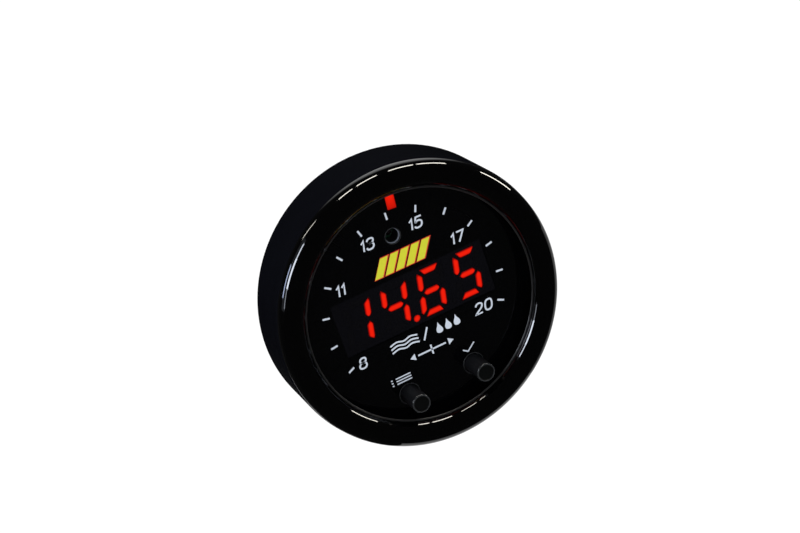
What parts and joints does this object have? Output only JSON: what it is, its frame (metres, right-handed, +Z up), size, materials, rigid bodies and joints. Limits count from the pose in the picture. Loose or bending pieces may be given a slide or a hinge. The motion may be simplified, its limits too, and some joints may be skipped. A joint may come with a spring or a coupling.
{
  "type": "air fuel ratio gauge",
  "caption": "Round panel gauge with a rounded bezel, a four-digit display, a ring of light bars and two buttons, on a cup with studs and harness sockets behind.",
  "frame": {"origin": "centre of the cup where it meets the seat that bears on the panel", "axes": "+Y along the gauge's axis, from the dial to the rear; +Z up on the dial; +X to the dial's right as read"},
  "size_m": [0.06, 0.0361, 0.06],
  "materials": {
    "shell": "satin black moulding with fine grain",
    "bezel": "high gloss black",
    "dial": "smooth black plate with printed marks",
    "display": "smooth blue-black face",
    "lit": "lit red",
    "unlit": "smoked, unlit",
    "unlit_pipe": "smoked, unlit",
    "moulding": "matte black",
    "led": "clear resin on a white package",
    "sensor": "dark clear resin",
    "button": "satin black",
    "steel": "zinc plated",
    "brass": "turned",
    "board": "green solder mask",
    "connector": "matte black moulding",
    "contact": "gold plated",
    "chip": "matte epoxy",
    "can": "satin"
  },
  "bodies": {
    "root": {"housing": "shell", "bezel": "bezel", "rear_cover": "shell", "dial_plate": "dial", "display_case": "display", "display_base": "board", "segments_lit": "lit", "segments_unlit": "unlit", "light_pipe_lit": "lit", "light_pipes_unlit": "unlit_pipe", "light_baffle": "moulding", "ring_leds": "led", "light_sensor": "sensor", "sensor_sleeve": "moulding", "mode_switch": "moulding", "select_switch": "moulding", "display_board": "board", "board_plug": "connector", "board_socket": "connector", "board_spacers": "brass", "controller_board": "board", "controller_chip": "chip", "driver_chips": "chip", "capacitors": "can", "power_choke": "chip", "sensor_socket": "connector", "sensor_pins": "contact", "power_socket": "connector", "power_pins": "contact", "stack_screws": "steel", "mounting_studs": "steel"},
    "mode_key": {"mode_button": "button", "mode_plunger": "steel"},
    "select_key": {"select_button": "button", "select_plunger": "steel"}
  },
  "joints": [
    {"name": "mode_press", "type": "slide", "parent": "root", "child": "mode_key", "axis": [0, 1, 0], "range_m": [0, 0.0004], "stiffness_N_per_m": 800, "springref_m": -0.0005},
    {"name": "select_press", "type": "slide", "parent": "root", "child": "select_key", "axis": [0, 1, 0], "range_m": [0, 0.0004], "stiffness_N_per_m": 800, "springref_m": -0.0005}
  ]
}
